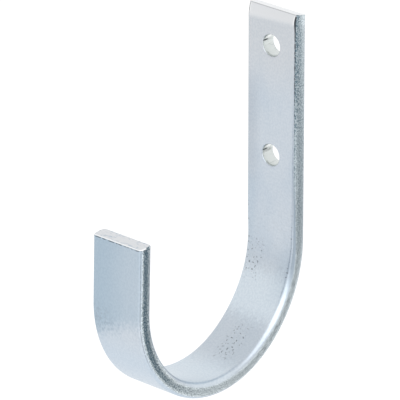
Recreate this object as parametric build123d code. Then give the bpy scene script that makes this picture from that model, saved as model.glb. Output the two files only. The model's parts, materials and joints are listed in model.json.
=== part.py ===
from build123d import *
import math
import os

# Wall hook bent from one length of rolled flat steel bar. Millimetres.
# X runs across the bar, +Y points at the wall, -Y into the room, +Z is up.
# The origin lies on the wall face, midway between the two screw holes.

# Rolled flat bar: flat faces, sides that bulge a little, rounded corners
bar_width = 20.0
bar_thickness = 5.0
bar_corner_radius = 1.1
side_bulge = 0.25

# Straight plate behind the hook, measured from its screw holes
hole_spacing = 35.8
upper_hole_to_end = 12.0
lower_hole_to_bend = 26.2

# Bend, by its inside radii: the bar leaves the plate gently, then closes tighter
# into the seat, and turns a little past half a circle so that the lip leans in
leaving_radius = 36.0
leaving_angle = 57.0
seat_radius = 30.5
lip_lean = 1.5

# Straight lip, along its inside face
lip_length = 22.0

# Screw holes, punched from the room side
hole_diameter = 7.0
hole_entry_rounding = 0.4
hole_exit_rounding = 0.2

# Cropped ends: each end face leans back towards the outside of the bend
plate_crop_slant = 3.0
lip_crop_slant = 5.0
end_edge_rounding = 0.25

# Press mark of the blade across the room side of the plate's end: a flat
# that slopes away from the face and eases into it
press_mark_length = 3.8
press_mark_depth = 0.8
press_mark_easing = 6.0

# Places that follow from the sizes
half_turn = 180.0
seat_angle = half_turn + lip_lean - leaving_angle
upper_hole_height = hole_spacing / 2
lower_hole_height = -hole_spacing / 2
plate_top = upper_hole_height + upper_hole_to_end
bend_start = lower_hole_height - lower_hole_to_bend
# Spare bar beyond each end, which the crop removes
spare_bar = bar_thickness / 2


def bar_course():
    """Centre line of the bar, drawn with the wall to the right and up as up."""
    mid = bar_thickness / 2
    plate = Line((-mid, plate_top + spare_bar), (-mid, bend_start))
    leaving = JernArc(plate @ 1, plate % 1, leaving_radius + mid, -leaving_angle)
    seat = JernArc(leaving @ 1, leaving % 1, seat_radius + mid, -seat_angle)
    lip_end = seat @ 1 + (seat % 1) * (lip_length + spare_bar)
    lip = Line(seat @ 1, lip_end)
    return Plane.YZ * Wire([plate, leaving, seat, lip])


def bar_section():
    """Section of the rolled bar, with its width along x."""
    side = bar_width / 2
    corner = side - side_bulge
    face = bar_thickness / 2
    right = ThreePointArc((corner, -face), (side, 0), (corner, face))
    left = ThreePointArc((-corner, face), (-side, 0), (-corner, -face))
    outline = Curve() + [right, Line(right @ 1, left @ 0), left, Line(left @ 1, right @ 0)]
    section = make_face(outline)
    return fillet(section.vertices(), bar_corner_radius)


def bent_bar(course):
    """The section carried along the whole course."""
    start = Plane(origin=course @ 0, x_dir=(1, 0, 0), z_dir=course % 0)
    return sweep(start * bar_section(), path=course)


def end_place(end, outward, inside):
    """Frame of a bar end: x from the inside face to the outside, y out of the bar."""
    across = Vector(0, -inside.Y, -inside.Z)
    corner = end - outward * spare_bar + inside * (bar_thickness / 2)
    return Plane(origin=corner, x_dir=across, z_dir=across.cross(outward))


def crop_waste(slant, pressed=0.0):
    """What one crop removes, drawn in the frame of the bar end. The slanted
    end face starts at the height of the end where it meets the inside face,
    or the bottom of the press mark."""
    clear = bar_thickness
    drop = math.tan(math.radians(slant))
    outline = Polyline(
        (-clear, drop * (clear + pressed)),
        (bar_thickness + clear, -drop * (bar_thickness + clear - pressed)),
        (bar_thickness + clear, 2 * spare_bar),
        (-clear, 2 * spare_bar),
        close=True,
    )
    return extrude(make_face(outline), bar_width, both=True)


def press_mark():
    """What the blade pushes out of the way, drawn in the frame of the bar end."""
    slope = math.atan2(press_mark_depth, press_mark_length)
    start = press_mark_length + press_mark_easing * math.tan(slope / 2)
    easing = JernArc((0, -start), (0, 1), press_mark_easing, -math.degrees(slope))
    flat = Line(easing @ 1, easing @ 1 + (easing % 1) * (start + spare_bar))
    clear = bar_thickness
    around = Polyline(flat @ 1, (-clear, (flat @ 1).Y), (-clear, -start), easing @ 0)
    outline = Curve() + [easing, flat, around]
    return extrude(make_face(outline), bar_width, both=True)


def screw_hole(height):
    """Drill of one screw hole, from the room side to the wall side."""
    place = Plane(origin=(0, -bar_thickness / 2, height), z_dir=(0, -1, 0))
    return place * Cylinder(hole_diameter / 2, 2 * bar_thickness)


def rim_edges(bar, face_y):
    """Round edges of the screw holes on the plate face that lies at face_y."""
    rims = bar.edges().filter_by(GeomType.CIRCLE).filter_by(
        lambda edge: math.isclose(edge.radius, hole_diameter / 2, abs_tol=1e-4)
    )
    return rims.filter_by(lambda edge: math.isclose(edge.center().Y, face_y, abs_tol=1e-4))


def build_hook():
    course = bar_course()
    bar = bent_bar(course)

    plate_out = -(course % 0)
    lip_out = course % 1
    plate_inside = Vector(0, -1, 0)
    lip_inside = Vector(0, lip_out.Z, -lip_out.Y)
    plate_end = end_place(course @ 0, plate_out, plate_inside)
    lip_end = end_place(course @ 1, lip_out, lip_inside)
    bar -= plate_end * crop_waste(plate_crop_slant, press_mark_depth)
    bar -= lip_end * crop_waste(lip_crop_slant)
    ends = bar.faces().filter_by(lambda face: face.is_planar and face.normal_at().Z > 0.5)
    bar = fillet(ends.edges(), end_edge_rounding)
    bar -= plate_end * press_mark()

    for height in (upper_hole_height, lower_hole_height):
        bar -= screw_hole(height)
    bar = fillet(rim_edges(bar, -bar_thickness), hole_entry_rounding)
    bar = fillet(rim_edges(bar, 0), hole_exit_rounding)
    return bar


os.makedirs("parts", exist_ok=True)
hook = build_hook()
export_step(hook, "parts/hook.step")
print("hook volume", round(hook.volume, 1), "mm3, box", hook.bounding_box().size)
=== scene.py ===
# %% [markdown]
# # A wall hook bent from flat steel bar
#
# The real hook is one length of rolled flat bar, 20 mm wide and 5 mm thick. A press
# crops it to length and punches two screw holes, a bending tool wraps it round a
# former, and a zinc bath gives it its cold, pale shine. This lesson follows the order
# of the workshop: first the straight blank with its cropped ends and its holes, then
# the zinc, then the bend, and last the studio.
#
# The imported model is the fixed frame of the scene. It is loaded first, and nothing
# in it is moved. The hook made here stands in its place, on the same course.

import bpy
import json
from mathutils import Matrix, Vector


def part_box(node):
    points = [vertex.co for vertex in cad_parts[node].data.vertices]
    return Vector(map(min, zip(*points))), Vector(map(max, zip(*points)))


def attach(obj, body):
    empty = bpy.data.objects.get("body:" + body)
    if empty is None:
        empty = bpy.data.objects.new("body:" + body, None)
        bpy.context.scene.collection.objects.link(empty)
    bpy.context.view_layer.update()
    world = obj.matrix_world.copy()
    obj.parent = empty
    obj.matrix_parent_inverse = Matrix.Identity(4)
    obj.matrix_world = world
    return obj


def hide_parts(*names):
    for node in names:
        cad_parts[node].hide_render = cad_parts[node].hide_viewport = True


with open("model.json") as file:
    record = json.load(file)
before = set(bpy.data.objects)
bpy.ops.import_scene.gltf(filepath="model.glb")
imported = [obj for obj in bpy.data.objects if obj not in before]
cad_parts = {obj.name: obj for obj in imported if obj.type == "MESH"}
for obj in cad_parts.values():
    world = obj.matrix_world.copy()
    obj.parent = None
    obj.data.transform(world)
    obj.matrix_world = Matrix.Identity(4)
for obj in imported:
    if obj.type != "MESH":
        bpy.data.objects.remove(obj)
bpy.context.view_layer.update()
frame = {"record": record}

import json
import math

import bpy
import numpy as np
from mathutils import Vector

# %% [markdown]
# ## Sizes
#
# Blender works in metres here, and the model's sizes are easier to read in
# millimetres, so each one is written as a number of millimetres times MM. What the
# frame can tell is read from the frame: the width and the top of the bar from the
# box of the node, the holes from the record's mounts. The rest are the driving
# sizes of the bar and of its bend, the same as in the part's own source.

# %% Sizes read from the frame
MM = 0.001
node_low, node_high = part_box("hook")
bar_width = node_high.x - node_low.x
plate_top = node_high.z
mounts = {mount["name"]: mount for mount in frame["record"]["mounts"]}
hole_radius = mounts["upper_screw_hole"]["dims"]["r_mm"] * MM
hole_heights = [mounts[name]["pos_m"][2] for name in ("upper_screw_hole", "lower_screw_hole")]
print("bar width", round(bar_width / MM, 2), "mm, hole radius", round(hole_radius / MM, 2), "mm")

# %% Sizes of the bar and of the bend
bar_thickness = 5.0 * MM
bar_corner_radius = 1.1 * MM
side_bulge = 0.25 * MM
lower_hole_to_bend = 26.2 * MM
leaving_radius = 36.0 * MM
leaving_angle = math.radians(57.0)
seat_radius = 30.5 * MM
lip_lean = math.radians(1.5)
lip_length = 22.0 * MM

half_thickness = bar_thickness / 2
seat_angle = math.pi + lip_lean - leaving_angle
hole_places = [plate_top - height for height in hole_heights]
bend_start = hole_places[1] + lower_hole_to_bend
leaving_run = (leaving_radius + half_thickness) * leaving_angle
seat_run = (seat_radius + half_thickness) * seat_angle
bend_end = bend_start + leaving_run + seat_run
bar_length = bend_end + lip_length
print("straight bar before bending:", round(bar_length / MM, 1), "mm long")

# %% [markdown]
# ## The section of the bar
#
# Rolled flat bar isn't a sharp rectangle. Its two faces are flat, its sides bulge
# by a quarter of a millimetre, and its corners are rounded. That outline could be a
# bevelled rectangle, but here it is worked out point by point, because the two flat
# faces need the same columns of points: a hole is later opened through both.
#
# The section is drawn with x across the bar and w through its thickness. The inside
# face, which looks into the room, lies at negative w. Round the former of the
# bending tool its corners are ironed to a wider rounding, so there is a second
# section for the bend.

# %% Section points
face_columns = 34
corner_steps = 5
bulge_steps = 6
ironed_corner_radius = 2.0 * MM

bulge_radius = (half_thickness**2 + side_bulge**2) / (2 * side_bulge)
bulge_centre = bar_width / 2 - bulge_radius


def corner_place(radius):
    """Centre and height of a corner's rounding, and the tilt at which it ends."""
    height = half_thickness - radius
    reach = math.sqrt((bulge_radius - radius) ** 2 - height**2)
    return bulge_centre + reach, height, math.atan2(height, reach)


def section_points(inside_radius):
    """The closed section as rows of x, w and outward direction, from the inside
    face's left end, across it, up the right side, back across and down."""
    near_x, near_height, near_tilt = corner_place(inside_radius)
    far_x, far_height, far_tilt = corner_place(bar_corner_radius)
    lower = np.linspace(-math.pi / 2, -near_tilt, corner_steps + 1)
    middle = np.linspace(-near_tilt, far_tilt, bulge_steps + 1)
    upper = np.linspace(far_tilt, math.pi / 2, corner_steps + 1)
    right = []
    for angles, centre_x, centre_w, radius in (
        (lower[1:-1], near_x, -near_height, inside_radius),
        (middle[:-1], bulge_centre, 0.0, bulge_radius),
        (upper[:-1], far_x, far_height, bar_corner_radius),
    ):
        for angle in angles:
            out = (math.cos(angle), math.sin(angle))
            right.append((centre_x + radius * out[0], centre_w + radius * out[1], *out))
    inside = [(x, -half_thickness, 0.0, -1.0) for x in np.linspace(-near_x, near_x, face_columns + 1)]
    outside = [(x, half_thickness, 0.0, 1.0) for x in np.linspace(far_x, -far_x, face_columns + 1)]
    left = [(-x, w, -out_x, out_w) for x, w, out_x, out_w in right[::-1]]
    return np.array(inside + right + outside + left)


plain_section = section_points(bar_corner_radius)
ironed_section = section_points(ironed_corner_radius)
side_steps = 2 * corner_steps + bulge_steps
print("section:", len(plain_section), "points,", side_steps, "steps up each side")

# %% [markdown]
# ## Rings along the straight blank
#
# The blank is a stack of section rings. Along the plain stretches they stand half a
# millimetre apart, which is fine enough for the round bend to look round. At each
# end a few close rings draw in towards the middle and round the edge of the crop.
# Every screw hole has a ring at its centre and even rings on both sides of it.

# %% Ring places
ring_step = 0.5 * MM
end_rounding = 0.25 * MM
end_steps = 4


def spaced(start, end):
    """Even places from start up to end, without end itself."""
    count = round((end - start) / ring_step)
    return list(np.linspace(start, end, count, endpoint=False))


def ring_places():
    """Distance from the plate's end and inset of each ring."""
    turns = np.linspace(0, math.pi / 2, end_steps, endpoint=False)
    draws = [(end_rounding * (1 - math.cos(t)), end_rounding * (1 - math.sin(t))) for t in turns]
    marks = [end_rounding, *hole_places, bend_start, bend_end, bar_length - end_rounding]
    plain = [place for start, end in zip(marks, marks[1:]) for place in spaced(start, end)]
    last = [(bar_length - place, inset) for place, inset in draws[::-1]]
    middle = [(place, 0.0) for place in [*plain, marks[-1]]]
    return np.array(draws + middle + last)


rings = ring_places()
hole_rings = [int(np.argmin(abs(rings[:, 0] - place))) for place in hole_places]
print("rings:", len(rings), "with the holes at rings", hole_rings)

# %% [markdown]
# ## Cropped ends
#
# A shear doesn't cut square. Both end faces lean back towards the outside of the
# bar, the plate's more than the lip's. At the plate's end the blade has also pressed
# a flat into the room side, up to 3.8 mm long and 0.8 mm deep at the end. The bar lay
# askew under the blade, so the flat ends 1.5 mm sooner at one side than at the other,
# and is steeper there.
#
# Cutting these with a boolean would leave sharp, thin faces. Instead the rings near
# the ends are pushed: the flat squeezes the bar through its thickness, and the lean
# slides the points along the bar. In the same step the inside corners are blended
# from their rolled rounding to the wider one that the former ironed into the bend.

# %% Press mark and lean of the ends
press_mark_length = 3.8 * MM
press_mark_depth = 0.8 * MM
press_mark_easing = 0.6 * MM
press_mark_askew = 1.5 * MM
plate_crop_slant = math.radians(12.0)
lip_crop_slant = math.radians(5.0)
lean_reach = 2.5 * MM
ironed_start = 66.0 * MM
ironed_end = 165.0 * MM
ironed_fade = 22.0 * MM


def press_depth(place, length):
    """Depth of the press mark under the room face, which eases in and then is flat."""
    slope = press_mark_depth / length
    eased = slope * np.clip(length + press_mark_easing - place, 0, None) ** 2
    eased = eased / (4 * press_mark_easing)
    flat = slope * (length - place)
    return np.where(place < length - press_mark_easing, flat, eased)


def shape_ends(x, w, place):
    """Blank points after cropping: x stays, w and the place along the bar change."""
    share = (half_thickness - w) / bar_thickness
    sooner = press_mark_askew * (1 + 2 * x / bar_width) / 2
    w = w + press_depth(place, press_mark_length - sooner) * share
    near_plate_end = np.clip(1 - place / lean_reach, 0, 1)
    near_lip_end = np.clip(1 - (bar_length - place) / lean_reach, 0, 1)
    pressed_edge = press_mark_depth - half_thickness
    plate_lean = math.tan(plate_crop_slant) * np.clip(w - pressed_edge, 0, None)
    lip_lean_back = math.tan(lip_crop_slant) * (w + half_thickness)
    return x, w, place + plate_lean * near_plate_end - lip_lean_back * near_lip_end


def ironed_share(place):
    """How far the inside corners are ironed: 0 on the plate and lip, 1 in the bend."""
    start = np.clip((place - ironed_start) / ironed_fade, 0, 1)
    end = np.clip((ironed_end - place) / ironed_fade, 0, 1)
    share = start * end
    return share * share * (3 - 2 * share)


def ring_stack():
    """All ring points as an array of rings by section points by (x, w, place), and
    how far each point's outward direction is turned from face to side, 0 to 1."""
    place, inset = rings[:, :1], rings[:, 1:]
    share = ironed_share(place)[:, :, None]
    sections = (1 - share) * plain_section + share * ironed_section
    x = sections[:, :, 0] - inset * sections[:, :, 2]
    w = sections[:, :, 1] - inset * sections[:, :, 3]
    turned = np.arctan2(abs(sections[:, :, 2]), abs(sections[:, :, 3])) / (math.pi / 2)
    return np.stack(shape_ends(x, w, place + 0 * x), axis=-1), turned


stack, turned = ring_stack()
print("points in the stack:", turned.size)

# %% [markdown]
# ## Opening the screw holes
#
# The holes were punched, 7 mm wide, with a softly rounded rim on the room side and a
# smaller one on the wall side. A boolean would cut the even grid into slivers, and
# slivers shade badly on metal. So the grid is opened instead: a square of cells is
# left out, and the cells round it are pulled from a square into a circle. The pull
# fades out a few cells away. The wall of the hole is then a neat tube between the
# two round openings.

# %% Pull the grid into circles
open_cells = 6
pulled_cells = 14
rim_entry = 0.4 * MM
rim_exit = 0.2 * MM
middle_column = face_columns // 2
outside_start = face_columns + side_steps


def square_direction(across, along):
    """Direction from the hole's centre for a cell corner on a square ring, spread
    so that the corners of the square land evenly round the circle."""
    ring = max(abs(across), abs(along))
    quarter = math.pi / 4
    if abs(along) == ring:
        turn = math.pi / 2 - quarter * across / ring * math.copysign(1, along)
        turn = turn if along > 0 else turn + math.pi
    else:
        turn = quarter * along / ring * math.copysign(1, across)
        turn = turn if across > 0 else turn + math.pi
    return math.cos(turn), math.sin(turn)


def column_index(across, outside):
    """Section point that lies a number of columns right of the middle of a face."""
    return outside_start + middle_column - across if outside else middle_column + across


def open_hole(hole_ring, outside, rim_radius):
    """Pulls the grid of one face round one hole."""
    centre = rings[hole_ring, 0]
    for along in range(-pulled_cells, pulled_cells + 1):
        for across in range(-pulled_cells, pulled_cells + 1):
            ring = max(abs(across), abs(along))
            if not open_cells <= ring <= pulled_cells:
                continue
            point = stack[hole_ring + along, column_index(across, outside)]
            out_x, out_along = square_direction(across, along)
            radius = rim_radius + (ring - open_cells) * ring_step
            round_place = np.array([radius * out_x, point[1], centre + radius * out_along])
            fade = (ring - open_cells) / (pulled_cells - open_cells)
            keep = fade * fade * (3 - 2 * fade)
            point[:] = keep * point + (1 - keep) * round_place


for hole_ring in hole_rings:
    open_hole(hole_ring, False, hole_radius + rim_entry)
    open_hole(hole_ring, True, hole_radius + rim_exit)
print("holes opened:", len(hole_rings), "each with", 8 * open_cells, "points round its rim")

# %% [markdown]
# ## Faces of the blank
#
# Three kinds of face close the blank: the skin between neighbouring rings, the wall
# of each hole, and the two end faces. An end face is a grid too, stretched over its
# outline: the two long edges and the two short sides each have the same number of
# points as the edge across from them, so every inner point is a blend of the four.

# %% Skin
points = [tuple(point) for point in stack.reshape(-1, 3)]
faces = []
loop = len(plain_section)


def in_hole(ring_row, column):
    """True for a cell of the skin that lies in the opening of a screw hole."""
    for hole_ring in hole_rings:
        if -open_cells <= ring_row - hole_ring < open_cells:
            for first in (middle_column - open_cells, outside_start + middle_column - open_cells):
                if first <= column < first + 2 * open_cells:
                    return True
    return False


for row in range(len(rings) - 1):
    for column in range(loop):
        if not in_hole(row, column):
            beside = (column + 1) % loop
            here, above = row * loop, (row + 1) * loop
            faces.append((here + column, here + beside, above + beside, above + column))
print("skin faces:", len(faces))

# %% Walls of the screw holes
rim_steps = 4
wall_steps = 4


def rim_walk():
    """Steps once round the square opening, as cells across and along."""
    side = range(-open_cells, open_cells)
    n = open_cells
    return (
        [(across, -n) for across in side] + [(n, along) for along in side]
        + [(-across, n) for across in side] + [(-n, -along) for along in side]
    )


def bore_profile():
    """Radius and depth of the rings inside a hole, from the room to the wall."""
    turns = np.linspace(0, math.pi / 2, rim_steps + 1)
    entry = [
        (rim_entry * (1 - math.sin(t)), -half_thickness + rim_entry * (1 - math.cos(t)))
        for t in turns[1:]
    ]
    wall = np.linspace(rim_entry - half_thickness, half_thickness - rim_exit, wall_steps + 1)
    straight = [(0.0, depth) for depth in wall[1:]]
    leave = [
        (rim_exit * (1 - math.cos(t)), half_thickness - rim_exit * (1 - math.sin(t)))
        for t in turns[1:-1]
    ]
    return [(hole_radius + flare, depth) for flare, depth in entry + straight + leave]


def add_bore(hole_ring):
    """Faces between the round openings of one hole."""
    centre = rings[hole_ring, 0]
    walk = rim_walk()
    loops = [[(hole_ring + along) * loop + column_index(across, False) for across, along in walk]]
    for radius, depth in bore_profile():
        start = len(points)
        for across, along in walk:
            out_x, out_along = square_direction(across, along)
            points.append((radius * out_x, depth, centre + radius * out_along))
        loops.append(list(range(start, start + len(walk))))
    loops.append([(hole_ring + along) * loop + column_index(across, True) for across, along in walk])
    for near, far in zip(loops, loops[1:]):
        for i in range(len(walk)):
            j = (i + 1) % len(walk)
            faces.append((near[i], near[j], far[j], far[i]))


for hole_ring in hole_rings:
    add_bore(hole_ring)
print("faces with the hole walls:", len(faces))

# %% End faces
def add_end_face(row):
    """A grid stretched over the outline of one end ring."""
    wide, high = face_columns, side_steps
    index = np.empty((high + 1, wide + 1), int)
    ring = row * loop
    index[0] = ring + np.arange(wide + 1)
    index[:, wide] = ring + wide + np.arange(high + 1)
    index[high] = ring + outside_start + np.arange(wide + 1)[::-1]
    index[:, 0] = ring + (loop - np.arange(high + 1)) % loop
    p = np.array(points)
    for i in range(1, high):
        for j in range(1, wide):
            a, b = i / high, j / wide
            edges = (
                (1 - a) * p[index[0, j]] + a * p[index[high, j]]
                + (1 - b) * p[index[i, 0]] + b * p[index[i, wide]]
            )
            corners = (
                (1 - a) * ((1 - b) * p[index[0, 0]] + b * p[index[0, wide]])
                + a * ((1 - b) * p[index[high, 0]] + b * p[index[high, wide]])
            )
            index[i, j] = len(points)
            points.append(tuple(edges - corners))
    first_face = len(faces)
    for i in range(high):
        for j in range(wide):
            faces.append((index[i, j], index[i, j + 1], index[i + 1, j + 1], index[i + 1, j]))
    return range(first_face, len(faces))


cropped_faces = [*add_end_face(0), *add_end_face(len(rings) - 1)]
print("faces in all:", len(faces))

# %% The blank as a mesh
import bmesh


def blank_mesh():
    """The straight blank, hanging down from the origin: x, w and minus the place."""
    mesh = bpy.data.meshes.new("straight_blank")
    hanging = [(x, w, -place) for x, w, place in points]
    mesh.from_pydata(hanging, [], [tuple(int(i) for i in face) for face in faces])
    cropped = mesh.attributes.new("cropped", "BOOLEAN", "FACE")
    for face in cropped_faces:
        cropped.data[face].value = True
    corner_turn = mesh.attributes.new("corner_turn", "FLOAT", "POINT")
    corner_turn.data.foreach_set("value", np.append(turned.ravel(), np.zeros(len(points) - turned.size)))
    work = bmesh.new()
    work.from_mesh(mesh)
    unused = [v for v in work.verts if not v.link_faces]
    bmesh.ops.delete(work, geom=unused, context="VERTS")
    bmesh.ops.recalc_face_normals(work, faces=work.faces)
    work.to_mesh(mesh)
    work.free()
    return mesh


blank = bpy.data.objects.new("hook_blank", blank_mesh())
bpy.context.scene.collection.objects.link(blank)
print("blank:", len(blank.data.vertices), "points,", len(blank.data.polygons), "faces")

# %% [markdown]
# ## Zinc on rolled steel
#
# Bright zinc is a thin, cold white metal skin. It hides nothing: where the steel is
# smooth it is satin, where the rolling mill left the steel coarse it sparkles, and
# where a tool pressed, it shines. One flat metal colour would miss all of that, and a
# photograph wrapped round the bar would smear in the bend. So the finish is a recipe
# of noises and of masks, one for each thing that happened to the bar, and some more
# that paint light and shade into the colour: painted shade and dark lines along the
# corners and sides, and painted highlights on rims and edges.
#
# The masks must follow the bar round the bend. The blank therefore stores each
# point's place before it is bent, and the shader reads that stored place instead of
# the object's space.
#
# A small helper keeps the node code short: each call adds one node, plugs in what
# is a socket and writes down what is a number.

# %% Node helpers
def plug(tree, target, value):
    """Links a socket, or sets a plain value, on one input."""
    if isinstance(value, bpy.types.NodeSocket):
        tree.links.new(value, target)
    else:
        target.default_value = value


def add_math(tree, operation, *values):
    """One math node on fields or shader values."""
    node = tree.nodes.new("ShaderNodeMath")
    node.operation = operation
    for target, value in zip(node.inputs, values):
        plug(tree, target, value)
    return node.outputs[0]


def add_ramp(tree, value, low, high, to_low=0.0, to_high=1.0):
    """A smooth step of a value between two limits."""
    node = tree.nodes.new("ShaderNodeMapRange")
    node.interpolation_type = "SMOOTHSTEP"
    for name, given in (
        ("Value", value), ("From Min", low), ("From Max", high), ("To Min", to_low), ("To Max", to_high)
    ):
        plug(tree, node.inputs[name], given)
    return node.outputs["Result"]


def add_noise(tree, place, scale, stretch=(1.0, 1.0, 1.0), detail=2.0, shift=0.0):
    """Cloudy noise at a scale per metre, stretched along the stored place."""
    mapping = tree.nodes.new("ShaderNodeMapping")
    tree.links.new(place, mapping.inputs["Vector"])
    mapping.inputs["Scale"].default_value = stretch
    mapping.inputs["Location"].default_value = (shift, shift, shift)
    node = tree.nodes.new("ShaderNodeTexNoise")
    tree.links.new(mapping.outputs["Vector"], node.inputs["Vector"])
    node.inputs["Scale"].default_value = scale
    node.inputs["Detail"].default_value = detail
    return node.outputs["Fac"]


def add_mix(tree, share, first, second, blend="MIX"):
    """A blend of two colours."""
    node = tree.nodes.new("ShaderNodeMix")
    node.data_type = "RGBA"
    node.blend_type = blend
    plug(tree, node.inputs[0], share)
    plug(tree, node.inputs[6], first)
    plug(tree, node.inputs[7], second)
    return node.outputs[2]


print("node helpers ready")

# %% Relief and new metals
def add_bump(tree, shader, height, depth):
    """Surface relief of a given depth."""
    bump = tree.nodes.new("ShaderNodeBump")
    bump.inputs["Strength"].default_value = 1.0
    bump.inputs["Distance"].default_value = depth
    plug(tree, bump.inputs["Height"], height)
    plug(tree, shader.inputs["Normal"], bump.outputs["Normal"])


def new_metal(name):
    """A material with its node tree, its shader and the stored place."""
    material = bpy.data.materials.new(name)
    material.use_nodes = True
    tree = material.node_tree
    shader = tree.nodes["Principled BSDF"]
    shader.inputs["Metallic"].default_value = 1.0
    stored = tree.nodes.new("ShaderNodeAttribute")
    stored.attribute_name = "blank_place"
    return material, tree, shader, stored.outputs["Vector"]


print("each metal reads the stored place of its points on the blank")

# %% [markdown]
# ## Reading a place on the bar
#
# Every mask starts from the same few questions. How far along the bar is this point?
# How far across it? How deep between the inside face and the outside face? And how
# far has the surface turned from a flat face round the corner to the side? The first
# three come from the stored place, and the last from the blank's own points. Masks
# are then bands and soft steps of these readings, multiplied together.

# %% Readings and masks
face_blend = 0.2 * MM


def shifted(tree, limit, step):
    """A limit moved by a step, whether it is a number or a socket."""
    if isinstance(limit, bpy.types.NodeSocket):
        return add_math(tree, "ADD", limit, step)
    return limit + step


def add_band(tree, value, low, high, soft):
    """1 between two limits of a value and softly 0 outside them."""
    rise = add_ramp(tree, value, shifted(tree, low, -soft), shifted(tree, low, soft))
    fall = add_ramp(tree, value, shifted(tree, high, -soft), shifted(tree, high, soft), 1.0, 0.0)
    return add_math(tree, "MULTIPLY", rise, fall)


def add_fade(tree, value, fade):
    """A soft step between two limits of a value, each written with its number."""
    (low, low_number), (high, high_number) = fade
    return add_ramp(tree, value, low, high, low_number, high_number)


def all_of(tree, *masks):
    """The product of several masks."""
    product = masks[0]
    for mask in masks[1:]:
        product = add_math(tree, "MULTIPLY", product, mask)
    return product


def any_of(tree, *masks):
    """The strongest of several masks."""
    strongest = masks[0]
    for mask in masks[1:]:
        strongest = add_math(tree, "MAXIMUM", strongest, mask)
    return strongest


class BarReadings:
    """What a shader can ask about a place on the bar."""

    def __init__(self, tree, place):
        split = tree.nodes.new("ShaderNodeSeparateXYZ")
        tree.links.new(place, split.inputs[0])
        self.place = place
        self.across, self.depth = split.outputs["X"], split.outputs["Y"]
        self.along = add_math(tree, "MULTIPLY", split.outputs["Z"], -1.0)
        self.outside = add_ramp(tree, self.depth, -face_blend, face_blend)
        self.inside = add_math(tree, "SUBTRACT", 1.0, self.outside)
        turned_to_side = tree.nodes.new("ShaderNodeAttribute")
        turned_to_side.attribute_name = "corner_turn"
        self.turn = turned_to_side.outputs["Fac"]


print("bar readings ready")

# %% [markdown]
# ## Colours of the zinc
#
# Polished zinc is nearly white and a little blue. The colours here are reflection
# colours of a metal, and most of them stay light. Where the zinc is thin it sends back
# a third to a half of the light. A dark blue-grey colours the specks at the edge of
# the lip's blue, and it is also painted as shade on the inside corner where the bend
# starts. Only torn steel, the painted dark lines along the corners and the dark
# grains of the sides are nearly black.

# %% Colours of the zinc
zinc_pale = (0.57, 0.62, 0.675, 1.0)
zinc_cool = (0.53, 0.59, 0.655, 1.0)
zinc_pressed = (0.73, 0.745, 0.765, 1.0)
zinc_dull = (0.515, 0.575, 0.635, 1.0)
zinc_blue = (0.395, 0.49, 0.575, 1.0)
zinc_clear = (0.71, 0.785, 0.845, 1.0)
zinc_mottle = (0.915, 0.93, 0.945, 1.0)
zinc_grey = (0.60, 0.615, 0.635, 1.0)
zinc_sky = (0.52, 0.605, 0.69, 1.0)
zinc_thin = (0.42, 0.455, 0.50, 1.0)
# dark blue-grey: real specks at the lip's blue edge, and painted shade on the inside corner of the bend
zinc_specks_and_shade = (0.31, 0.37, 0.43, 1.0)
# painted highlight colour: on the hole walls, along the lip's end, on the burr and on the plate's end
zinc_glint = (0.92, 0.93, 0.94, 1.0)
zinc_bore = (0.72, 0.76, 0.75, 1.0)
# nearly black: torn steel and pits, and the painted dark lines along the corners
zinc_torn_and_shade_lines = (0.05, 0.06, 0.07, 1.0)
# side colours, blended by the grain and by painted shade and reflection
side_dark = (0.075, 0.13, 0.17, 1.0)
side_light = (0.89, 0.97, 1.0, 1.0)
print("zinc on the faces from", zinc_specks_and_shade[:3], "to", zinc_glint[:3])

# %% [markdown]
# ## Rolled faces
#
# The broad faces are satin with a very fine mottle, and some stretches look
# different. The plate is greyer at the top, and down its left margin the zinc is
# thin, first grey and lower down blue. In the bend one place is dull, and the
# stretches beside it and in the seat are clear. The lip is bluer than the rest. Its
# blue has a ragged, slanting edge with darker specks, and a sky-blue stretch below
# it. The press mark is the palest place, and shorter at one side.
#
# Why each stretch came out so can only be guessed: thin zinc where the bath drained
# away, dull zinc where the former rubbed. So nothing here acts out a cause. Each
# stretch says where it is, how softly it ends, how strong it is and what colour it
# has, and one function lays them all.

# %% Stretches of the rolled faces
from typing import NamedTuple

left_edge, right_edge = -bar_width / 2, bar_width / 2


class Stretch(NamedTuple):
    """A stretch of one face, with its strength as a fade across the bar."""

    colour: tuple
    along: tuple
    soft: float
    strength: tuple


sky_stretch = Stretch(
    zinc_sky, (140.0 * MM, 172.0 * MM), 6.0 * MM, ((left_edge, 0.7), (right_edge, 0.7))
)
bend_stretches = {
    "rubbed": Stretch(
        zinc_dull, (106.0 * MM, 120.0 * MM), 6.0 * MM, ((-6.0 * MM, 0.15), (3.0 * MM, 0.7))
    ),
    "clear": Stretch(
        zinc_clear, (87.0 * MM, 103.0 * MM), 4.0 * MM, ((left_edge, 0.75), (right_edge, 0.75))
    ),
    "seat": Stretch(
        zinc_clear, (124.0 * MM, 150.0 * MM), 7.0 * MM, ((left_edge, 0.8), (right_edge, 0.8))
    ),
    "leaving": Stretch(
        zinc_blue, (74.0 * MM, 95.0 * MM), 5.0 * MM, ((1.0 * MM, 0.0), (8.5 * MM, 0.2))
    ),
}


def lay_stretch(tree, bar, colour, face, reading, stretch):
    """A colour with one stretch of a face laid over it."""
    mask = all_of(
        tree, face, add_band(tree, reading, *stretch.along, stretch.soft),
        add_fade(tree, bar.across, stretch.strength),
    )
    return add_mix(tree, mask, colour, stretch.colour)


print("stretches in the bend:", ", ".join(bend_stretches))

# %% Tones of the plate
grey_top = ((12.0 * MM, 0.7), (32.0 * MM, 0.0))
thin_margin = (24.0 * MM, 82.0 * MM)
thin_margin_soft = 8.0 * MM
thin_margin_strength = ((-8.5 * MM, 0.42), (-3.0 * MM, 0.0))
margin_turns_blue = (50.0 * MM, 64.0 * MM)
# How far before and past its length the press mark's pale tone fades
press_fade = (0.7 * MM, 1.7 * MM)


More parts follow.
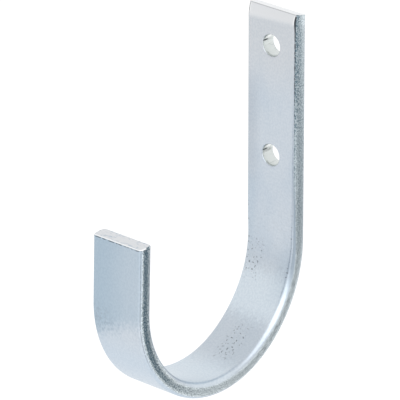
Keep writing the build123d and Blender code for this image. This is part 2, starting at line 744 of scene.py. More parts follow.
def plate_tones(tree, bar, colour):
    """A colour with the thin margin and the greyer top of the plate laid over it."""
    margin = all_of(
        tree, bar.inside, add_fade(tree, bar.across, thin_margin_strength),
        add_band(tree, bar.along, *thin_margin, thin_margin_soft),
    )
    thin = add_mix(tree, add_ramp(tree, bar.along, *margin_turns_blue), zinc_thin, zinc_blue)
    colour = add_mix(tree, margin, colour, thin)
    top = all_of(tree, bar.inside, add_fade(tree, bar.along, grey_top))
    return add_mix(tree, top, colour, zinc_grey)


def pressed_mask(tree, bar):
    """The flat of the press mark, which ends sooner at the right side."""
    sooner = add_math(
        tree, "MULTIPLY_ADD", bar.across, press_mark_askew / bar_width, press_mark_askew / 2
    )
    pressed_end = add_math(tree, "ADD", bar.along, sooner)
    low, high = press_mark_length - press_fade[0], press_mark_length + press_fade[1]
    return all_of(tree, bar.inside, add_ramp(tree, pressed_end, low, high, 1.0, 0.0))


print("thin margin from", [round(place / MM) for place in thin_margin], "mm along the bar")

# %% Tones of the lip
blue_fade = (174.5 * MM, 181.5 * MM)
# How far the blue's edge moves along the bar for each step across it
blue_slant = -0.4
blue_strength = ((-9.0 * MM, 1.0), (9.0 * MM, 0.55))
blue_edge = (176.0 * MM, 183.0 * MM)
blue_edge_soft = 3.0 * MM
edge_speck_limits = (0.46, 0.60)
edge_speck_strength = ((-8.0 * MM, 0.6), (3.0 * MM, 0.1))


def lip_tones(tree, bar, colour, ragged, specks):
    """A colour with the blue of the lip and the specks at its edge laid over it."""
    slanted = add_math(tree, "MULTIPLY_ADD", bar.across, blue_slant, ragged)
    blue = all_of(
        tree, bar.outside, add_ramp(tree, slanted, *blue_fade),
        add_fade(tree, bar.across, blue_strength),
    )
    colour = add_mix(tree, blue, colour, zinc_blue)
    edge_specks = all_of(
        tree, bar.outside, add_band(tree, bar.along, *blue_edge, blue_edge_soft),
        add_ramp(tree, specks, *edge_speck_limits), add_fade(tree, bar.across, edge_speck_strength),
    )
    return add_mix(tree, edge_specks, colour, zinc_specks_and_shade)


print("bluer zinc starts", round(blue_fade[0] / MM), "mm along the bar")

# %% Rolled faces put together
# A noise is its scale per metre, its stretch along the three axes, detail and shift
clouds_noise = (90.0, (1.0, 1.0, 0.6), 2.0, 0.0)
mottle_noise = (1600.0, (1.0, 1.0, 0.8), 3.0, 1.0)
specks_noise = (1500.0, (1.0, 1.0, 0.7), 3.0, 2.0)
noise_limits = (0.38, 0.62)
noise_middle = 0.5
ragged_reach = 9.0 * MM


def face_colour(tree, bar):
    """Fine mottling on the faces, with the stretches that look different."""
    clouds = add_noise(tree, bar.place, *clouds_noise)
    mottle = add_noise(tree, bar.place, *mottle_noise)
    specks = add_noise(tree, bar.place, *specks_noise)
    colour = add_mix(tree, add_ramp(tree, clouds, *noise_limits), zinc_pale, zinc_cool)
    colour = plate_tones(tree, bar, colour)
    colour = lay_stretch(tree, bar, colour, bar.outside, bar.along, sky_stretch)
    stray = add_math(tree, "SUBTRACT", specks, noise_middle)
    ragged = add_math(tree, "ADD", bar.along, all_of(tree, stray, ragged_reach))
    for stretch in bend_stretches.values():
        colour = lay_stretch(tree, bar, colour, bar.inside, ragged, stretch)
    colour = lip_tones(tree, bar, colour, ragged, specks)
    colour = add_mix(tree, add_ramp(tree, mottle, *noise_limits), colour, zinc_mottle, "MULTIPLY")
    return add_mix(tree, pressed_mask(tree, bar), colour, zinc_pressed)


print("mottle of the faces:", mottle_noise[0], "per metre")

# %% [markdown]
# ## Walls of the screw holes
#
# A punch pushes its slug through in two stages: it first shears a smooth, bright
# wall, and then the rest tears. The torn places are short dark strokes that run into
# the hole from the room side. A bright stroke beside them is a painted highlight, and
# a dark arc along the upper rim is painted shade.

# %% Marks on the walls of the screw holes
# Where a hole's wall can be, across and through the bar, and clear of the plate's end
bore_across = (-4.5 * MM, 4.5 * MM)
bore_across_soft = 0.2 * MM
bore_depth = (-2.2 * MM, 2.3 * MM)
bore_depth_soft = 0.1 * MM
clear_of_end = (6.0 * MM, 7.0 * MM)
# Strokes, measured along the bar from the hole's centre, and how deep they run
stroke_soft = 0.15 * MM
torn_stroke = (-1.05 * MM, -0.55 * MM)
torn_depth = ((-0.8 * MM, 1.0), (0.3 * MM, 0.0))
# A painted highlight stroke beside the torn one
glint_stroke = (-2.2 * MM, -1.4 * MM)
glint_depth = (-1.4 * MM, 0.9 * MM)
# Painted shade along the rim's upper arc
upper_stroke = (-3.6 * MM, -1.6 * MM)
upper_depth = ((-2.0 * MM, 0.6), (-1.5 * MM, 0.0))
upper_soft = 0.3 * MM
lower_stroke = (2.4 * MM, 2.9 * MM)
lower_depth = (-2.0 * MM, -1.4 * MM)
lower_soft = 0.2 * MM
lower_strength = 0.3
scores_noise = (1300.0, (1.0, 0.12, 1.0), 2.0, 5.0)
scores_fade = ((0.60, 0.0), (0.72, 0.2))
print("torn stroke", [round(place / MM, 2) for place in torn_stroke], "mm from a hole's centre")

# %% Walls of the screw holes
def bore_dark(tree, bar, from_centre):
    """Torn places and scores on a screw hole's wall, painted shade along its upper rim, and a darker arc
    low near the room side.
    """
    torn = all_of(
        tree, add_band(tree, from_centre, *torn_stroke, stroke_soft), add_fade(tree, bar.depth, torn_depth)
    )
    upper = all_of(
        tree, add_band(tree, from_centre, *upper_stroke, upper_soft), add_fade(tree, bar.depth, upper_depth)
    )
    lower = all_of(
        tree, add_ramp(tree, from_centre, *lower_stroke),
        add_band(tree, bar.depth, *lower_depth, lower_soft), lower_strength,
    )
    scores = add_noise(tree, bar.place, *scores_noise)
    return any_of(tree, torn, upper, lower, add_fade(tree, scores, scores_fade))


def bore_colour(tree, bar):
    """The wall of a screw hole, and a mask of it."""
    in_bore = all_of(
        tree, add_band(tree, bar.across, *bore_across, bore_across_soft),
        add_band(tree, bar.depth, *bore_depth, bore_depth_soft), add_ramp(tree, bar.along, *clear_of_end),
    )
    half_spacing = (hole_places[1] - hole_places[0]) / 2
    from_centre = add_math(tree, "SUBTRACT", bar.along, hole_places[0])
    from_centre = add_math(tree, "WRAP", from_centre, half_spacing, -half_spacing)
    # A painted highlight stroke on the wall
    glint = all_of(
        tree, add_band(tree, from_centre, *glint_stroke, stroke_soft),
        add_band(tree, bar.depth, *glint_depth, upper_soft),
    )
    wall = add_mix(tree, glint, zinc_bore, zinc_glint)
    return add_mix(tree, bore_dark(tree, bar, from_centre), wall, zinc_torn_and_shade_lines), in_bore


print("hole walls ready for", len(hole_places), "holes")

# %% [markdown]
# ## Pits and painted dark lines
#
# The jaws of a bending tool leave small pits in the inside face. Along the rounded
# corners, and across the ends, thin dark lines are painted as shade and dark
# reflection. They break up here and there, and the plate's line is widest and whole
# beside the press mark. Such small marks could be real dents, but at a tenth of a
# millimetre they would need millions of faces, so they are drawn by the shader.

# %% Pits
# Stretch along the bar and stretch across it that each pair of jaws gripped
jaw_grips = (
    ((77.0 * MM, 90.0 * MM), (-8.0 * MM, -2.5 * MM)),
    ((107.0 * MM, 121.0 * MM), (-2.5 * MM, 4.0 * MM)),
)
grip_soft_along = 3.0 * MM
grip_soft_across = 1.5 * MM
pits_noise = (1200.0, (1.0, 1.0, 1.0), 1.0, 11.0)
pits_limits = (0.60, 0.68)
pits_strength = 0.7


def pit_mask(tree, bar):
    """Small pits where the jaws of the bending tool gripped the inside face."""
    pits = add_ramp(tree, add_noise(tree, bar.place, *pits_noise), *pits_limits)
    grips = [
        all_of(
            tree, add_band(tree, bar.along, *along, grip_soft_along),
            add_band(tree, bar.across, *across, grip_soft_across),
        )
        for along, across in jaw_grips
    ]
    return all_of(tree, pits, any_of(tree, *grips), bar.inside, pits_strength)


print("pits in", len(jaw_grips), "places")

# %% Sizes of the painted dark lines
breaks_noise = (900.0, (1.0, 1.0, 1.3), 3.0, 7.0)
breaks_limits = (0.42, 0.56)
# A line lies in a band of the turn from the face, 0, to the side, 1
shade_line_soft = 0.08
plate_shade_line_low = ((2.0 * MM, 0.24), (6.0 * MM, 0.36))
plate_shade_line_high = 0.60
plate_shade_line_whole = ((4.0 * MM, 1.0), (10.0 * MM, 0.35))
plate_shade_line_starts = (0.3 * MM, 0.8 * MM)
plate_shade_line_weakens = ((12.0 * MM, 1.0), (46.0 * MM, 0.12))
plate_shade_line_ends = ((80.0 * MM, 1.0), (92.0 * MM, 0.0))
bend_shade_line = (0.05, 0.25)
bend_shade_line_along = (66.0 * MM, 90.0 * MM)
bend_shade_line_soft = 6.0 * MM
bend_breaks = (0.56, 0.64)
lip_shade_line = (0.56, 0.68)
lip_shade_line_starts = (160.0 * MM, 175.0 * MM)
lip_breaks = (0.3, 0.45)
line_strength = 0.6
# Lines across the bar: at the lip's end, and at the plate's end
lip_edge_line = (bar_length - 1.0 * MM, bar_length - 0.72 * MM)
lip_edge_soft = 0.1 * MM
lip_edge_strength = 0.85
plate_edge_line = ((0.15 * MM, 0.28), (0.35 * MM, 0.0))
print("the plate's line is whole up to", round(plate_shade_line_whole[0][0] / MM), "mm from its end")

# %% Painted dark lines
def plate_shade_line(tree, bar, broken):
    """The painted dark line down the plate's inside corner, a dark reflection in its rounding."""
    whole = any_of(tree, broken, add_fade(tree, bar.along, plate_shade_line_whole))
    low = add_fade(tree, bar.along, plate_shade_line_low)
    return all_of(
        tree, bar.inside, whole, add_band(tree, bar.turn, low, plate_shade_line_high, shade_line_soft),
        add_ramp(tree, bar.along, *plate_shade_line_starts), add_fade(tree, bar.along, plate_shade_line_weakens),
        add_fade(tree, bar.along, plate_shade_line_ends),
    )


def shade_line_mask(tree, bar):
    """Thin dark broken lines painted as shade and dark reflection along the rounded corners and across the
    ends.
    """
    breaks = add_noise(tree, bar.place, *breaks_noise)
    broken = add_ramp(tree, breaks, *breaks_limits)
    bend_line = all_of(
        tree, bar.inside, add_ramp(tree, breaks, *bend_breaks),
        add_band(tree, bar.turn, *bend_shade_line, shade_line_soft),
        add_band(tree, bar.along, *bend_shade_line_along, bend_shade_line_soft), line_strength,
    )
    lip_line = all_of(
        tree, bar.outside, add_ramp(tree, breaks, *lip_breaks),
        add_band(tree, bar.turn, *lip_shade_line, shade_line_soft),
        add_ramp(tree, bar.along, *lip_shade_line_starts), line_strength,
    )
    lip_edge = all_of(
        tree, bar.outside, broken, add_band(tree, bar.along, *lip_edge_line, lip_edge_soft),
        lip_edge_strength,
    )
    plate_edge = all_of(tree, bar.inside, add_fade(tree, bar.along, plate_edge_line))
    return any_of(
        tree, plate_shade_line(tree, bar, broken), bend_line, lip_line, lip_edge, plate_edge
    )


print("nipped lines ready")

# %% [markdown]
# ## Sides of the bar
#
# Flat bar is cut or edged in the mill, so its sides are coarser than its faces. On
# the plate the grain sparkles, and in the bend it is drawn out. Over the grain lies
# painted shade and painted reflection, on top of what the dark card really mirrors:
# on the plate the side is darkest beside the inside corner, in the bend it is pale
# with one soft darker streak along the middle, and on the lip the streak is nearly
# black.
#
# How light the side is painted is told by three numbers for each stretch: at the
# inside edge, in the middle and at the outside edge. Soft steps blend them. A number
# that changes along the bar is written as a fade: a place and its number, twice. The
# plate has two more: a painted darker corner beside its inside edge, and a painted
# glow of light at its end.

# %% Shades of the sides
# Share of the light side colour on the plate: painted shade and reflection, with a painted glow at the end
plate_corner_shade = ((16.0 * MM, 0.17), (60.0 * MM, 0.34))
plate_inside_shade = ((20.0 * MM, 0.24), (58.0 * MM, 0.46))
plate_middle_shade = 0.32
plate_outside_shade = ((8.0 * MM, 0.50), (36.0 * MM, 0.39))
plate_end_glow = ((1.5 * MM, 0.20), (7.0 * MM, 0.0))
# In the bend, and on the lip
bend_inside_shade = ((92.0 * MM, 0.50), (120.0 * MM, 0.80))
bend_middle_shade = ((105.0 * MM, 0.60), (130.0 * MM, 0.63))
bend_outside_shade = 0.72
lip_inside_shade = ((158.0 * MM, 0.86), (178.0 * MM, 0.38))
lip_middle_shade = 0.06
lip_outside_shade = 0.58
# Depths between which one shade steps to the next
corner_step = (-2.15 * MM, -1.8 * MM)
end_glow_step = (-1.5 * MM, 0.3 * MM)
plate_steps = ((-1.4 * MM, -0.4 * MM), (-0.3 * MM, 1.2 * MM))
bend_steps = ((-1.6 * MM, -0.5 * MM), (0.5 * MM, 1.3 * MM))
lip_steps = ((-1.3 * MM, -0.3 * MM), (0.6 * MM, 1.5 * MM))
# Places along the bar between which one stretch takes over from the last
plate_to_bend = (62.0 * MM, 92.0 * MM)
bend_to_lip = (136.0 * MM, 172.0 * MM)
print("middle of the side: plate", plate_middle_shade, "lip", lip_middle_shade)

# %% How light the side is painted
def three_shades(tree, depth, shades, steps):
    """A painted shade that steps from the inside edge to the middle to the outside edge."""
    inside, middle, outside = shades
    shade = add_ramp(tree, depth, *steps[0], inside, middle)
    return add_ramp(tree, depth, *steps[1], shade, outside)


def side_shade(tree, bar):
    """How light the side is painted, as shade and reflection, from 0, the dark side colour, to 1, the light
    one.
    """
    plate_inside = add_ramp(
        tree, bar.depth, *corner_step, add_fade(tree, bar.along, plate_corner_shade),
        add_fade(tree, bar.along, plate_inside_shade),
    )
    plate_outside = add_fade(tree, bar.along, plate_outside_shade)
    plate = three_shades(
        tree, bar.depth, (plate_inside, plate_middle_shade, plate_outside), plate_steps
    )
    end_glow = all_of(
        tree, add_fade(tree, bar.along, plate_end_glow), add_ramp(tree, bar.depth, *end_glow_step)
    )
    plate = add_math(tree, "ADD", plate, end_glow)
    bend_inside = add_fade(tree, bar.along, bend_inside_shade)
    bend_middle = add_fade(tree, bar.along, bend_middle_shade)
    bend = three_shades(tree, bar.depth, (bend_inside, bend_middle, bend_outside_shade), bend_steps)
    lip_inside = add_fade(tree, bar.along, lip_inside_shade)
    lip = three_shades(
        tree, bar.depth, (lip_inside, lip_middle_shade, lip_outside_shade), lip_steps
    )
    shade = add_ramp(tree, bar.along, *plate_to_bend, plate, bend)
    return add_ramp(tree, bar.along, *bend_to_lip, shade, lip)


print("shades set for the plate, the bend and the lip")

# %% [markdown]
# ## The rolled finish put together
#
# First the grain: coarse on the plate and the lip, drawn out and fine in the bend.
# Then the layers, one over the other: faces and sides with their painted shade, the
# painted shade on the inside corner where the bend starts, the pits, the walls of the
# holes, the painted highlights along the lip's end and on the burr beside the press
# mark, and last the painted dark lines along the corners. The same grain drives the
# roughness and the relief, so that a dark grain is also a rough one.

# %% Grain of the sides
# Turn from the face, 0, to the side, 1, at which the side begins
side_start_inside = ((55.0 * MM, 0.31), (85.0 * MM, 0.72))
side_start_outside = ((130.0 * MM, 0.72), (165.0 * MM, 0.78))
side_blend = 0.16
grain_noise = (2600.0, (1.0, 1.0, 0.8), 2.0, 3.0)
drawn_noise = (2200.0, (1.0, 1.0, 0.25), 2.0, 4.0)
drawn_along = (80.0 * MM, 120.0 * MM)
drawn_soft = 12.0 * MM
# How much the grain lightens and darkens the side, and how strongly along the bar
sparkle_fade = ((0.36, -0.5), (0.64, 0.5))
plate_sparkle = ((20.0 * MM, 0.42), (85.0 * MM, 0.24))
lip_sparkle = ((112.0 * MM, 0.0), (150.0 * MM, 0.30))


def side_mask(tree, bar):
    """Where the side begins round the corner: sooner on the plate than elsewhere."""
    on_inside = all_of(tree, bar.inside, add_fade(tree, bar.along, side_start_inside))
    on_outside = all_of(tree, bar.outside, add_fade(tree, bar.along, side_start_outside))
    start = add_math(tree, "ADD", on_inside, on_outside)
    return add_ramp(tree, bar.turn, start, shifted(tree, start, side_blend))


def side_grain(tree, bar, in_bend):
    """Grain of the mill on the plate and the lip, and drawn out in the bend."""
    rolled = add_noise(tree, bar.place, *grain_noise)
    drawn = add_noise(tree, bar.place, *drawn_noise)
    not_in_bend = add_math(tree, "SUBTRACT", 1.0, in_bend)
    return add_math(tree, "ADD", all_of(tree, rolled, not_in_bend), all_of(tree, drawn, in_bend))


def side_colour(tree, bar, grain):
    """The sides, from dark to light by their painted shade and their grain."""
    strength = add_math(
        tree, "ADD", add_fade(tree, bar.along, plate_sparkle), add_fade(tree, bar.along, lip_sparkle)
    )
    sparkle = all_of(tree, add_fade(tree, grain, sparkle_fade), strength)
    shade = add_math(tree, "ADD", side_shade(tree, bar), sparkle)
    return add_mix(tree, add_math(tree, "MAXIMUM", shade, 0.0), side_dark, side_light)


print("grain of the sides:", grain_noise[0], "per metre")

# %% Layers of the rolled finish
# Painted shade on the inside corner where the bend starts
shaded_corner_turn = (0.42, 0.80)
shaded_corner_turn_soft = 0.08
shaded_corner_along = (58.0 * MM, 88.0 * MM)
shaded_corner_soft = 7.0 * MM
# A painted highlight along the lip's end
lip_rim_highlight = (bar_length - 0.66 * MM, bar_length - 0.6 * MM)
# A painted highlight on the burr beside the press mark
burr_highlight_along = (0.6 * MM, 3.2 * MM)
burr_highlight_along_soft = 0.5 * MM
burr_highlight_turn = (0.03, 0.2)
burr_highlight_turn_soft = 0.03


def shaded_corner(tree, bar):
    """Painted shade on the inside corner where the bend starts."""
    return all_of(
        tree, bar.inside, add_band(tree, bar.turn, *shaded_corner_turn, shaded_corner_turn_soft),
        add_band(tree, bar.along, *shaded_corner_along, shaded_corner_soft),
    )


def burr_highlight(tree, bar):
    """A painted highlight on the burr that the blade turned up beside the press mark."""
    return all_of(
        tree, bar.inside, add_band(tree, bar.along, *burr_highlight_along, burr_highlight_along_soft),
        add_band(tree, bar.turn, *burr_highlight_turn, burr_highlight_turn_soft),
    )


def rolled_colour(tree, bar, grain, on_side):
    """All the layers of the rolled finish, one over the other."""
    bore, in_bore = bore_colour(tree, bar)
    # a painted highlight along the lip's end
    rim = all_of(tree, bar.outside, add_ramp(tree, bar.along, *lip_rim_highlight))
    colour = face_colour(tree, bar)
    for mask, layer in (
        (on_side, side_colour(tree, bar, grain)), (shaded_corner(tree, bar), zinc_specks_and_shade),
        (pit_mask(tree, bar), zinc_torn_and_shade_lines), (in_bore, bore), (rim, zinc_glint),
        (burr_highlight(tree, bar), zinc_glint), (shade_line_mask(tree, bar), zinc_torn_and_shade_lines),
    ):
        colour = add_mix(tree, mask, colour, layer)
    return colour


print("the corner is darker from", [round(place / MM) for place in shaded_corner_along], "mm")

# %% Rolled finish
grain_roughness = ((0.3, 0.28), (0.7, 0.38))
side_roughness = 0.12
grain_depth = 0.08 * MM
face_relief = 0.12
drawn_relief_loss = -0.75


def rolled_zinc():
    """Zinc on the rolled skin: mottled on the faces, grainy on the sides."""
    material, tree, shader, place = new_metal("rolled_zinc")
    bar = BarReadings(tree, place)
    on_side = side_mask(tree, bar)
    in_bend = add_band(tree, bar.along, *drawn_along, drawn_soft)
    grain = side_grain(tree, bar, in_bend)
    plug(tree, shader.inputs["Base Color"], rolled_colour(tree, bar, grain, on_side))

    roughness = add_math(
        tree, "ADD", add_fade(tree, grain, grain_roughness), all_of(tree, on_side, side_roughness)
    )
    plug(tree, shader.inputs["Roughness"], roughness)
    side_relief = all_of(
        tree, grain, on_side, add_math(tree, "MULTIPLY_ADD", in_bend, drawn_relief_loss, 1.0)
    )
    relief = add_math(tree, "ADD", all_of(tree, grain, face_relief), side_relief)
    add_bump(tree, shader, relief, grain_depth)
    return material


print("grain of the rolled finish:", round(grain_depth / MM, 2), "mm deep")

# %% [markdown]
# ## The cropped finish
#
# A sheared end is torn across its grain. Zinc on it is pale and matt, with short
# darker tears. The plate's end looks straight up into the light, and a painted
# highlight makes it paler still.

# %% Cropped finish
tears_noise = (1300.0, (0.5, 1.0, 1.0), 4.0, 0.0)
tears_limits = (0.50, 0.68)
tears_depth = 0.12 * MM
# A painted highlight on the plate's end
plate_end_glint = ((10.0 * MM, 0.75), (20.0 * MM, 0.0))
cropped_roughness = 0.5


def cropped_zinc():
    """Zinc on a sheared end: pale, rough and torn along the cut."""
    material, tree, shader, place = new_metal("cropped_zinc")
    bar = BarReadings(tree, place)
    tears = add_noise(tree, place, *tears_noise)
    colour = add_mix(tree, add_ramp(tree, tears, *tears_limits), zinc_pressed, zinc_cool)
    colour = add_mix(tree, add_fade(tree, bar.along, plate_end_glint), colour, zinc_glint)
    plug(tree, shader.inputs["Base Color"], colour)
    shader.inputs["Roughness"].default_value = cropped_roughness
    add_bump(tree, shader, tears, tears_depth)
    return material


finishes = {"Rolled Finish": rolled_zinc(), "Cropped Finish": cropped_zinc()}
print("finishes:", [material.name for material in finishes.values()])

# %% [markdown]
# ## The bend
#
# Bending is a rule: a point keeps its distance from the middle of the bar's
# thickness, and the middle line turns. It runs straight down the plate, turns
# through the leaving arc, turns tighter through the seat, and runs straight again
# up the lip. Geometry Nodes can follow such a rule with fields, one value for every
# point, so the bend stays a list of named sizes that a reader can change.
#
# With u as the distance from the plate's end, the turn in each arc is the part of u
# that lies in it, divided by the arc's radius. The rest is sines and cosines.

# %% Inputs of the bend
bend_inputs = {
    "Plate Top": plate_top,
    "Half Thickness": half_thickness,
    "Bend Start": bend_start,
    "Leaving Radius": leaving_radius + half_thickness,
    "Leaving Angle": leaving_angle,
    "Seat Radius": seat_radius + half_thickness,
    "Seat Angle": seat_angle,
}


def bend_sockets(tree):
    """Gives the tree its named inputs and its output, and returns the inputs."""
    made = tree.interface.new_socket
    made("Geometry", in_out="INPUT", socket_type="NodeSocketGeometry")
    for name in bend_inputs:
        made(name, in_out="INPUT", socket_type="NodeSocketFloat")
    for name in finishes:
        made(name, in_out="INPUT", socket_type="NodeSocketMaterial")
    made("Geometry", in_out="OUTPUT", socket_type="NodeSocketGeometry")
    return tree.nodes.new("NodeGroupInput").outputs


print("bend inputs:", len(bend_inputs), "sizes and", len(finishes), "finishes")

# %% Where the bend carries a point
def bent_place(tree, given, position):
    """Field of the place to which the bend carries each point of the blank."""
    def m(operation, *values):
        return add_math(tree, operation, *values)

    split = tree.nodes.new("ShaderNodeSeparateXYZ")
    tree.links.new(position, split.inputs[0])
    x, w, u = split.outputs["X"], split.outputs["Y"], m("MULTIPLY", split.outputs["Z"], -1.0)

    first_radius, second_radius = given["Leaving Radius"], given["Seat Radius"]
    first_run = m("MULTIPLY", first_radius, given["Leaving Angle"])
    second_run = m("MULTIPLY", second_radius, given["Seat Angle"])
    past_start = m("MAXIMUM", m("SUBTRACT", u, given["Bend Start"]), 0.0)
    past_first = m("MAXIMUM", m("SUBTRACT", past_start, first_run), 0.0)
    past_second = m("MAXIMUM", m("SUBTRACT", past_first, second_run), 0.0)
    first_turn = m("DIVIDE", m("MINIMUM", past_start, first_run), first_radius)
    second_turn = m("DIVIDE", m("MINIMUM", past_first, second_run), second_radius)
    turn = m("ADD", first_turn, second_turn)

    sine, cosine = m("SINE", turn), m("COSINE", turn)
    first_sine, first_cosine = m("SINE", first_turn), m("COSINE", first_turn)
    straight = m("MINIMUM", u, given["Bend Start"])
    room_first = m("MULTIPLY", first_radius, m("SUBTRACT", 1.0, first_cosine))
    room_second = m("MULTIPLY", second_radius, m("SUBTRACT", first_cosine, cosine))
    room_lip = m("MULTIPLY", past_second, sine)
    down_first = m("MULTIPLY", first_radius, first_sine)
    down_second = m("MULTIPLY", second_radius, m("SUBTRACT", sine, first_sine))
    down_lip = m("MULTIPLY", past_second, cosine)
    room = m("ADD", m("ADD", room_first, room_second), room_lip)
    down = m("ADD", m("ADD", m("ADD", straight, down_first), down_second), down_lip)

    middle_y = m("SUBTRACT", m("MULTIPLY", room, -1.0), given["Half Thickness"])
    middle_z = m("SUBTRACT", given["Plate Top"], down)
    join = tree.nodes.new("ShaderNodeCombineXYZ")
    tree.links.new(x, join.inputs["X"])
    tree.links.new(m("ADD", middle_y, m("MULTIPLY", w, cosine)), join.inputs["Y"])
    tree.links.new(m("SUBTRACT", middle_z, m("MULTIPLY", w, sine)), join.inputs["Z"])
    return join.outputs[0]


print("the bend turns", round(math.degrees(leaving_angle + seat_angle), 1), "degrees in all")

# %% Finishes given by the tree
def with_finishes(tree, given, geometry):
    """The bent bar shaded smooth, with the rolled finish and, on its ends, the
    cropped one."""
    smooth = tree.nodes.new("GeometryNodeSetShadeSmooth")
    tree.links.new(geometry, smooth.inputs["Geometry"])
    realize = tree.nodes.new("GeometryNodeRealizeInstances")
    tree.links.new(smooth.outputs[0], realize.inputs[0])
    rolled = tree.nodes.new("GeometryNodeSetMaterial")
    tree.links.new(realize.outputs[0], rolled.inputs["Geometry"])
    tree.links.new(given["Rolled Finish"], rolled.inputs["Material"])
    cropped = tree.nodes.new("GeometryNodeInputNamedAttribute")
    cropped.data_type = "BOOLEAN"
    cropped.inputs["Name"].default_value = "cropped"
    ends = tree.nodes.new("GeometryNodeSetMaterial")
    tree.links.new(rolled.outputs["Geometry"], ends.inputs["Geometry"])
    tree.links.new(cropped.outputs["Attribute"], ends.inputs["Selection"])
    tree.links.new(given["Cropped Finish"], ends.inputs["Material"])
    return ends.outputs["Geometry"]


print("cropped faces to finish apart:", len(cropped_faces))

# %% Tree of the bend
def bend_tree():
    """Stores each point's place on the blank, bends it and gives it its finishes."""
    tree = bpy.data.node_groups.new("bend_the_bar", "GeometryNodeTree")
    given = bend_sockets(tree)
    position = tree.nodes.new("GeometryNodeInputPosition").outputs[0]
    store = tree.nodes.new("GeometryNodeStoreNamedAttribute")
    store.data_type = "FLOAT_VECTOR"
    store.domain = "POINT"
    store.inputs["Name"].default_value = "blank_place"
    tree.links.new(given["Geometry"], store.inputs["Geometry"])
    tree.links.new(position, store.inputs["Value"])
    bend = tree.nodes.new("GeometryNodeSetPosition")
    tree.links.new(store.outputs["Geometry"], bend.inputs["Geometry"])
    tree.links.new(bent_place(tree, given, position), bend.inputs["Position"])
    result = tree.nodes.new("NodeGroupOutput")
    finished = with_finishes(tree, given, bend.outputs["Geometry"])
    tree.links.new(finished, result.inputs["Geometry"])
    return tree


bend_modifier = blank.modifiers.new("bend", "NODES")
bend_modifier.node_group = bend_tree()
for socket in bend_modifier.node_group.interface.items_tree:
    if socket.in_out == "INPUT" and socket.name in bend_inputs:
        bend_modifier[socket.identifier] = bend_inputs[socket.name]
    elif socket.in_out == "INPUT" and socket.name in finishes:
        bend_modifier[socket.identifier] = finishes[socket.name]
print("nodes in the bend:", len(bend_modifier.node_group.nodes))

# %% The bent hook as a plain mesh
depsgraph = bpy.context.evaluated_depsgraph_get()
hook_mesh = bpy.data.meshes.new_from_object(blank.evaluated_get(depsgraph))
hook_mesh.name = "zinc_plated_hook"
zinc_hook = bpy.data.objects.new("zinc_plated_hook", hook_mesh)
bpy.context.scene.collection.objects.link(zinc_hook)
bpy.data.objects.remove(blank)

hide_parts("hook")
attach(zinc_hook, "root")
hook_corners = [
    [round(value / MM, 2) for value in corner]
    for corner in (
        np.min([v.co for v in hook_mesh.vertices], axis=0),
        np.max([v.co for v in hook_mesh.vertices], axis=0),
    )
]
print("bent hook from", hook_corners[0], "to", hook_corners[1], "mm")

# %% [markdown]
# ## Studio
#
# The hook is shown as a catalogue shows it: on white, in soft light, with a long
# lens from the upper right. The floor and the sky are white where the camera or a
# reflection looks at them, and the floor still darkens where the hook shades it.

# %% Camera
view_azimuth = math.radians(43.21)
view_elevation = math.radians(22.12)
view_distance = 1514.17 * MM
view_target = Vector((0.0, -36.55 * MM, -23.42 * MM))
back = Vector((
    math.sin(view_azimuth) * math.cos(view_elevation),
    -math.cos(view_azimuth) * math.cos(view_elevation),
    math.sin(view_elevation),
))
camera_data = bpy.data.cameras.new("camera")
camera_data.sensor_width = 36.0
camera_data.lens = 450.0
camera_data.clip_start = 0.05
camera_data.clip_end = 50.0
camera = bpy.data.objects.new("camera", camera_data)
camera.location = view_target + view_distance * back
camera.rotation_mode = "QUATERNION"
camera.rotation_quaternion = (-back).to_track_quat("-Z", "Y")
bpy.context.scene.collection.objects.link(camera)
bpy.context.scene.camera = camera
print("camera at", [round(value, 3) for value in camera.location], "m")

# %% Floor
floor_gap = 250.0 * MM
floor_reach = 6.0
floor_grey = 0.86
floor_glow_strength = 0.4
floor_level = node_low.z - floor_gap
floor_mesh = bpy.data.meshes.new("studio_floor")
floor_mesh.from_pydata(
    [
        (-floor_reach, -floor_reach, floor_level), (floor_reach, -floor_reach, floor_level),
        (floor_reach, floor_reach, floor_level), (-floor_reach, floor_reach, floor_level),
    ],
    [], [(0, 1, 2, 3)],
)
studio_floor = bpy.data.objects.new("studio_floor", floor_mesh)
bpy.context.scene.collection.objects.link(studio_floor)

floor_material = bpy.data.materials.new("white_floor")
floor_material.use_nodes = True
floor_tree = floor_material.node_tree
floor_shader = floor_tree.nodes["Principled BSDF"]
floor_shader.inputs["Base Color"].default_value = (floor_grey, floor_grey, floor_grey, 1.0)
floor_shader.inputs["Roughness"].default_value = 1.0
floor_shader.inputs["Specular IOR Level"].default_value = 0.0
floor_shader.inputs["Emission Color"].default_value = (1.0, 1.0, 1.0, 1.0)
floor_ray = floor_tree.nodes.new("ShaderNodeLightPath")
floor_glow = add_math(
    floor_tree, "MULTIPLY",
    add_math(floor_tree, "MAXIMUM", floor_ray.outputs["Is Camera Ray"], floor_ray.outputs["Is Glossy Ray"]),
    floor_glow_strength,
)
plug(floor_tree, floor_shader.inputs["Emission Strength"], floor_glow)
floor_mesh.materials.append(floor_material)
print("floor", round(floor_gap / MM), "mm under the hook")

# %% Sky and lamps
# Strength of the sky as light on the hook, and as the camera and reflections see it
sky_strengths = (0.75, 1.0)

world = bpy.data.worlds.new("white_studio")
bpy.context.scene.world = world
world.use_nodes = True
world_tree = world.node_tree
sky = world_tree.nodes["Background"]
sky.inputs["Color"].default_value = (1.0, 1.0, 1.0, 1.0)
sky_ray = world_tree.nodes.new("ShaderNodeLightPath").outputs
seen = add_math(
    world_tree, "MAXIMUM",
    add_math(world_tree, "MAXIMUM", sky_ray["Is Camera Ray"], sky_ray["Is Glossy Ray"]),
    sky_ray["Is Transmission Ray"],
)
plug(world_tree, sky.inputs["Strength"], add_ramp(world_tree, seen, 0.0, 1.0, *sky_strengths))


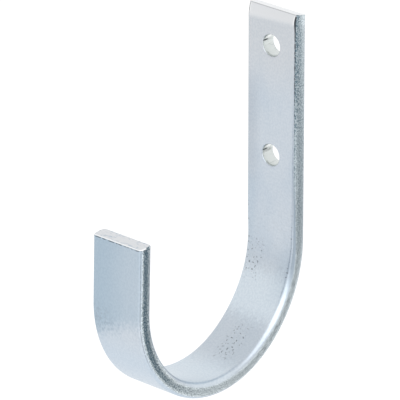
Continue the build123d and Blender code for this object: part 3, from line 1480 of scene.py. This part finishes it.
def soft_lamp(name, azimuth, elevation, distance, size, power):
    """A square lamp that looks at the middle of the hook."""
    data = bpy.data.lights.new(name, "AREA")
    data.size = size
    data.energy = power
    lamp = bpy.data.objects.new(name, data)
    a, e = math.radians(azimuth), math.radians(elevation)
    out = Vector((math.sin(a) * math.cos(e), -math.cos(a) * math.cos(e), math.sin(e)))
    lamp.location = view_target + distance * out
    lamp.rotation_mode = "QUATERNION"
    lamp.rotation_quaternion = (-out).to_track_quat("-Z", "Y")
    bpy.context.scene.collection.objects.link(lamp)
    return lamp


soft_lamp("key_lamp", azimuth=62.0, elevation=34.0, distance=1.2, size=1.6, power=7.0)
bpy.context.scene.view_settings.view_transform = "Standard"
print("studio lit")

# %% [markdown]
# ## A card to reflect
#
# Metal shows what stands round it. In an all white room the right side of the bar
# would be as white as its face, and the edge between them would be lost. A studio
# stands a dull card where that side mirrors it. The side could be painted darker
# instead, but a card darkens only what looks at it, as on the real bar, and leaves
# the bright line along the ironed corner. The camera doesn't see the card, and it
# throws no shadow.

# %% Card
def grey_card(name, azimuth, distance, width, low, high, grey):
    """An upright board that only reflections see. It stands on a circle round the
    hook and faces it."""
    a = math.radians(azimuth)
    out = Vector((math.sin(a), -math.cos(a), 0.0))
    side = Vector((math.cos(a), math.sin(a), 0.0)) * width / 2
    middle = Vector((view_target.x, view_target.y, 0.0)) + distance * out
    mesh = bpy.data.meshes.new(name)
    corners = [middle - side, middle + side]
    mesh.from_pydata(
        [(*corner.xy, height) for height in (low, high) for corner in corners],
        [], [(0, 1, 3, 2)],
    )
    material = bpy.data.materials.new(name)
    material.use_nodes = True
    shader = material.node_tree.nodes["Principled BSDF"]
    shader.inputs["Base Color"].default_value = (grey, grey, grey, 1.0)
    shader.inputs["Roughness"].default_value = 1.0
    shader.inputs["Specular IOR Level"].default_value = 0.0
    mesh.materials.append(material)
    card = bpy.data.objects.new(name, mesh)
    card.visible_camera = False
    card.visible_diffuse = False
    card.visible_shadow = False
    bpy.context.scene.collection.objects.link(card)
    return card


dark_card = grey_card(
    "dark_card", azimuth=136.0, distance=0.21, width=0.10, low=floor_level, high=-75.0 * MM, grey=0.3
)
print("card beside the hook:", dark_card.name)
